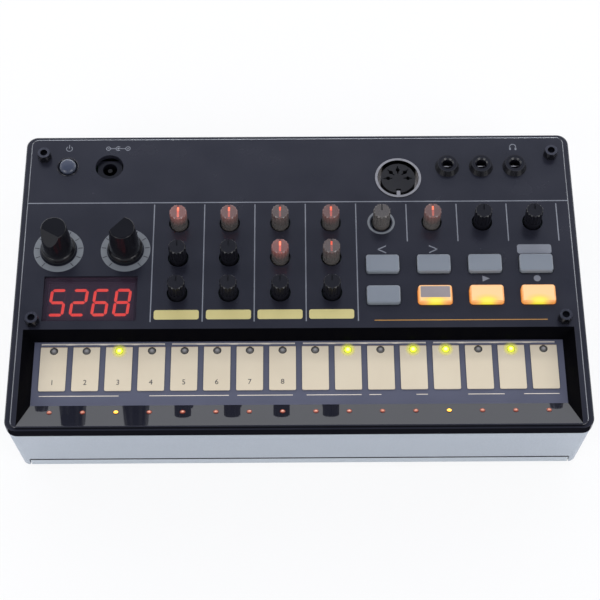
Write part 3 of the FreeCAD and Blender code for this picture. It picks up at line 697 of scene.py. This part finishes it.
# Display: a smoked red acrylic window over a four-digit module. The lit bars are thin light
# guides that glow red, and the unlit ones stay a dull grey-red.

smoked_window = plastic_finish("smoked_window", (0.066, 0.040, 0.062), (0.058, 0.034, 0.054),
                               rough=0.10, grain=2.0, depth=0.01, wave=0.03)
feed(*opened(smoked_window), {"Alpha": 0.42})
dress(smoked_window, "display_window")
module_black = plastic_finish("module_black", (0.03, 0.022, 0.025), (0.022, 0.017, 0.02),
                              rough=0.5, grain=0.3, depth=0.1)
dress(module_black, "display_module")

digit_high = 9.5
digit_wide = 4.6
digit_step = 7.35
bar = 0.92
lean = 0.10


def digit_bar(x, y, which):
    """One of the seven bars, a long hexagon that leans with the digit."""
    half_w, half_h = digit_wide / 2, digit_high / 2
    spots = {"top": (0, half_h, 0), "middle": (0, 0, 0), "bottom": (0, -half_h, 0),
             "top_left": (-half_w, half_h / 2, 1), "top_right": (half_w, half_h / 2, 1),
             "low_left": (-half_w, -half_h / 2, 1), "low_right": (half_w, -half_h / 2, 1)}
    cx, cy, upright = spots[which]
    reach = (half_h / 2 if upright else half_w) - 0.2
    tip = bar / 2
    points = [(-reach, 0), (-reach + tip, -tip), (reach - tip, -tip),
              (reach, 0), (reach - tip, tip), (-reach + tip, tip)]
    if upright:
        points = [(-v, u) for u, v in points]
    return [(x + cx + u + lean * (cy + v), y + cy + v) for u, v in points]


bars_of = {
    "2": ("top", "top_right", "middle", "low_left", "bottom"),
    "5": ("top", "top_left", "middle", "low_right", "bottom"),
    "6": ("top", "top_left", "middle", "low_left", "low_right", "bottom"),
    "8": ("top", "top_left", "top_right", "middle", "low_left", "low_right", "bottom"),
}
window_low, window_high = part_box("display_window")
window_x, window_y = middle_of(window_low, window_high)
digits_x = window_x - 0.4
digits_y = window_y - 0.1
lit = []
unlit = []
for k, digit in enumerate("5268"):
    x = digits_x + (k - 1.5) * digit_step
    for name in bars_of["8"]:
        (lit if name in bars_of[digit] else unlit).append(digit_bar(x, digits_y, name))
bars_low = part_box("display_module")[1].z / mm
segment_red = lamp_finish("segment_red", (1.0, 0.055, 0.03), (1.0, 0.09, 0.05), 1.75, 2)
segment_dark = ink_finish("segment_dark", (0.10, 0.035, 0.035), (0.08, 0.03, 0.03))
slab("display_lit_bars", lit, bars_low, 0.3, segment_red)
slab("display_dark_bars", unlit, bars_low, 0.2, segment_dark)


# Keypad board: a blue-grey printed board that shows between the pads, with cream pads of
# silk-smooth ink over copper. Thin cream rules group the pads, and numbers mark the first eight.

board_colour = (0.090, 0.094, 0.132)
board_blue = plastic_finish("board_blue", board_colour, (0.078, 0.082, 0.116),
                            rough=0.40, grain=0.3, depth=0.08)
dress(board_blue, "keypad_board")
board_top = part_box("keypad_board")[1].z / mm
pads_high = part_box("keypad_pads")[1]
pads_top = pads_high.z / mm


def pad_finish():
    """Cream ink that stops 0.7 mm short of each pad's back edge, with a fine tinned line."""
    finish = plastic_finish("pad_cream", (0.690, 0.595, 0.430), (0.655, 0.56, 0.40),
                            rough=0.45, grain=0.25, depth=0.08)
    tree, shader = opened(finish)
    where = axes(tree, coordinates(tree, "Object"))
    ink_end = pads_high.y - 0.7 * mm
    bare = between(tree, where["Y"], ink_end, pads_high.y + mm)
    line = between(tree, where["Y"], ink_end - 0.15 * mm, ink_end)
    colour = blend_colour(tree, bare, source(shader, "Base Color"), board_colour)
    feed(tree, shader, {"Base Color": blend_colour(tree, line, colour, (0.26, 0.17, 0.10))})
    return finish


dress(pad_finish(), "keypad_pads")
cream_rule_ink = ink_finish("cream_rule", (0.80, 0.72, 0.60), (0.72, 0.64, 0.52))
back_spans = ((-86.6, -45.1), (-42.7, -1.3), (1.4, 42.8), (45.3, 86.2))
front_spans = ((-86.3, -59.9), (-49.7, -23.3), (-20.5, -2.1), (2.5, 20.7),
               (23.3, 27.3), (38.9, 42.7), (56.1, 68.2), (74.7, 86.4))
board_rules = [rule(start, -23.8, end, -23.8, 0.6) for start, end in back_spans]
board_rules += [rule(start, -43.0, end, -43.0, 0.25) for start, end in front_spans]
slab("board_rules", board_rules, board_top, ink, cream_rule_ink)

number_ink = ink_finish("number_ink", (0.06, 0.055, 0.055), (0.04, 0.04, 0.04))


def print_number(text, x, y, z, height, body):
    """A printed number, cut as a thin mesh; its figures are 0.72 of the type size high."""
    curve = bpy.data.curves.new("number_" + text, "FONT")
    curve.body = text
    curve.size = height * mm / 0.72
    curve.align_x = "CENTER"
    curve.align_y = "CENTER"
    curve.extrude = 0.01 * mm
    curve.resolution_u = 4
    holder = bpy.data.objects.new("number_" + text, curve)
    bpy.context.scene.collection.objects.link(holder)
    mesh = bpy.data.meshes.new_from_object(holder)
    bpy.data.objects.remove(holder)
    mesh.transform(Matrix.Translation((x * mm, y * mm, z * mm)))
    mesh.materials.clear()
    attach(link_mesh("pad_number_" + text, mesh, number_ink), body)


pad_count = 16
pad_step = 10.97
pad_xs = [(k - (pad_count - 1) / 2) * pad_step for k in range(pad_count)]
for k in range(8):
    print_number(str(k + 1), pad_xs[k], -38.2, pads_top + 0.01, 1.9, "case")


# Pad lamps: small round lamps under a hole in each pad, each domed lens ringed by painted shade
# on the board. Five are lit yellow, with a painted pool of their light on the pad round each. A
# second row of tiny lamps sits in the front slope, two of them lit. The unlit lenses carry a
# painted highlight at their core, and the unlit red ones a faint painted glow.

lit_pads = {2, 9, 11, 12, 14}
lit_lips = {2, 12}
lamp_grey = plastic_finish("lamp_grey", (0.16, 0.155, 0.14), (0.10, 0.10, 0.09),
                           rough=0.2, grain=0.5, depth=0.05)
dress(lamp_grey, "pad_lamps")
lamp_red = plastic_finish("lamp_red_off", (0.20, 0.03, 0.018), (0.14, 0.02, 0.012),
                          rough=0.18, grain=0.5, depth=0.05)
dress(lamp_red, "lip_lamps")


def lens_finish(name, core, edge, glow=0.0, clear=False):
    """A small lens, its colour going from core to edge, with a painted highlight at the core where the
    lens is unlit; it may glow, or fade out at its edge, as the painted pool of light round a lit lamp
    does.
    """
    finish, tree, shader = blank_finish(name, {"Roughness": 0.12})
    away = distance(tree, (-0.5, -0.5, 0), (1, 1, 0))
    tint = ramp(tree, away, (0.12, core), (0.42, edge))
    feed(tree, shader, {"Base Color": tint})
    if glow:
        feed(tree, shader, {"Emission Color": tint, "Emission Strength": glow})
    if clear:
        feed(tree, shader, {"Alpha": remap(tree, away, 0.5, 0.0, 0.1, 0.5)})
    return finish


yellow_lens = lens_finish("yellow_lens", (1.0, 1.0, 0.28), (0.66, 1.0, 0.01), glow=1.5)
painted_light_pool = lens_finish("painted_light_pool", (0.90, 0.92, 0.06), (0.80, 0.76, 0.12), glow=0.35, clear=True)
yellow_small = lens_finish("yellow_small", (1.0, 0.85, 0.10), (1.0, 0.42, 0.01), glow=1.5)
# Painted highlight: the unlit lenses are paler at the core, and the unlit red ones also glow faintly with
# painted light.
red_lens_painted_glint = lens_finish("red_lens_painted_glint", (0.72, 0.33, 0.22), (0.36, 0.055, 0.02), glow=0.12)
grey_lens_painted_highlight = lens_finish("grey_lens_painted_highlight", (0.30, 0.285, 0.27), (0.085, 0.08, 0.075))
painted_well_shade = plastic_finish("lamp_ring_shade", (0.03, 0.03, 0.03), (0.02, 0.02, 0.02),
                           rough=0.6, grain=0.3, depth=0.1)
lens = ((1.0, 0.0), (0.98, 0.08), (0.8, 0.22), (0.5, 0.32), (0.2, 0.36), (0, 0.37))
lip_lens = ((0.8, 0.0), (0.7, 0.16), (0.42, 0.28), (0.16, 0.32), (0, 0.33))
lip_aim = Vector((0, 4.7, 9.5)).normalized()
lip_y, lip_z = -49.66, 27.95
lamp_y = -26.4
for k, x in enumerate(pad_xs):
    tag = "%02d" % (k + 1)
    # Painted shade: a dark ring on the board in the gap round each lens.
    slab("lamp_ring_shade_" + tag, band(x, lamp_y, 1.1, 1.38, 0, 360, 24), board_top, 0.1, painted_well_shade)
    pad_look = yellow_lens if k in lit_pads else grey_lens_painted_highlight
    turned("pad_lens_" + tag, lens, (x, lamp_y, pads_top), up, pad_look, "case")
    lip_look = yellow_small if k in lit_lips else red_lens_painted_glint
    turned("lip_lens_" + tag, lip_lens, (x, lip_y, lip_z), lip_aim, lip_look, "case", 20)
    if k in lit_pads:
        # Painted light: a faint glowing disc on the pad stands in for the lamp's light falling round it.
        slab("painted_lamp_pool_" + tag, [disc(x, lamp_y, 2.7, 32)], pads_top + 0.02, 0.01, painted_light_pool)


# Inside: potentiometers, switches, boards, flat cable, loudspeaker and cells, seen only when
# the cover is off or through the slots, in the finishes such parts have.

pot_case = plastic_finish("pot_case", (0.10, 0.14, 0.12), (0.08, 0.11, 0.10),
                          rough=0.5, grain=0.3, depth=0.2)
dress(pot_case, "small_pots", "big_pots")
switch_case = plastic_finish("switch_case", (0.03, 0.03, 0.032), (0.02, 0.02, 0.022),
                             rough=0.5, grain=0.3, depth=0.2)
dress(switch_case, "key_switches", "board_parts")
green_board = plastic_finish("green_board", (0.02, 0.13, 0.06), (0.015, 0.10, 0.045),
                             rough=0.35, grain=0.4, depth=0.1)
dress(green_board, "main_board")
flat_cable = plastic_finish("flat_cable", (0.46, 0.46, 0.48), (0.38, 0.38, 0.40),
                            rough=0.5, grain=0.6, depth=0.3)
dress(flat_cable, "ribbon_cable")
speaker_paper = plastic_finish("speaker_paper", (0.04, 0.038, 0.036), (0.025, 0.024, 0.022),
                               rough=0.85, grain=0.4, depth=0.5)
dress(speaker_paper, "speaker_cone")
dress(zinc, "speaker_frame")
cell_sleeve = metal_finish("cell_sleeve", (0.10, 0.13, 0.20), (0.07, 0.10, 0.16),
                           rough=0.3, metallic=0.5)
dress(cell_sleeve, "battery_cells")
